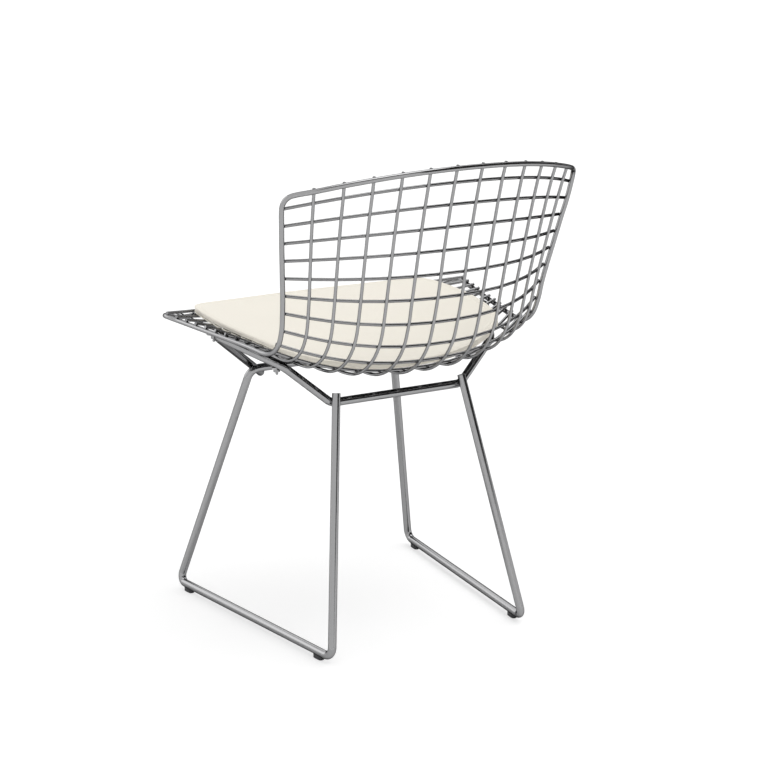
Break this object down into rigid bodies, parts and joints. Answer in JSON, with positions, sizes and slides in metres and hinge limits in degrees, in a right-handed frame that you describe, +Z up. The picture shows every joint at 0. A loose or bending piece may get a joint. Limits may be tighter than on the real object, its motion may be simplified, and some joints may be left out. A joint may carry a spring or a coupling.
{
  "type": "wire mesh chair",
  "caption": "Wire mesh side chair: a bent grid of welded wires inside a rim forms seat and back on a bent-rod sled base, with a thin loose seat pad.",
  "frame": {"origin": "on the floor, under the centre of the chair's outline", "axes": "+Z up, the sitter faces -Y, +X to the sitter's left; mirror plane X = 0"},
  "size_m": [0.5454, 0.54, 0.7568],
  "materials": {
    "mesh_wire": "polished chrome plate",
    "base_rod": "polished chrome plate",
    "clamp": "polished chrome plate",
    "fastener": "zinc plated steel",
    "glide": "moulded, matte",
    "pad_cover": "smooth coated cloth, cream",
    "foam": "cut polyurethane foam"
  },
  "bodies": {
    "chair": {"clamp_nuts": "fastener", "clamp_screws": "fastener", "cross_wire_01": "mesh_wire", "cross_wire_02": "mesh_wire", "cross_wire_03": "mesh_wire", "cross_wire_04": "mesh_wire", "cross_wire_05": "mesh_wire", "cross_wire_06": "mesh_wire", "cross_wire_07": "mesh_wire", "cross_wire_08": "mesh_wire", "cross_wire_09": "mesh_wire", "cross_wire_10": "mesh_wire", "cross_wire_11": "mesh_wire", "cross_wire_12": "mesh_wire", "cross_wire_13": "mesh_wire", "cross_wire_14": "mesh_wire", "cross_wire_15": "mesh_wire", "cross_wire_16": "mesh_wire", "cross_wire_17": "mesh_wire", "cross_wire_18": "mesh_wire", "cross_wire_19": "mesh_wire", "cross_wire_20": "mesh_wire", "front_clamp_cap_left": "clamp", "front_clamp_cap_right": "clamp", "front_clamp_saddle_left": "clamp", "front_clamp_saddle_right": "clamp", "front_glide_left": "glide", "front_glide_right": "glide", "lower_rod": "base_rod", "rear_clamp_cap_left": "clamp", "rear_clamp_cap_right": "clamp", "rear_clamp_saddle_left": "clamp", "rear_clamp_saddle_right": "clamp", "rear_glide_left": "glide", "rear_glide_right": "glide", "rim_wire": "mesh_wire", "upper_rod": "base_rod", "upright_wire_01": "mesh_wire", "upright_wire_02": "mesh_wire", "upright_wire_03": "mesh_wire", "upright_wire_04": "mesh_wire", "upright_wire_05": "mesh_wire", "upright_wire_06": "mesh_wire", "upright_wire_07": "mesh_wire", "upright_wire_08": "mesh_wire", "upright_wire_09": "mesh_wire", "upright_wire_10": "mesh_wire", "upright_wire_11": "mesh_wire", "upright_wire_12": "mesh_wire"},
    "seat_pad": {"pad_cover": "pad_cover", "pad_foam_core": "foam"}
  },
  "joints": [
    {"name": "pad_lift", "type": "slide", "parent": "chair", "child": "seat_pad", "axis": [0, 0, 1], "range_m": [0, 0.12]}
  ]
}
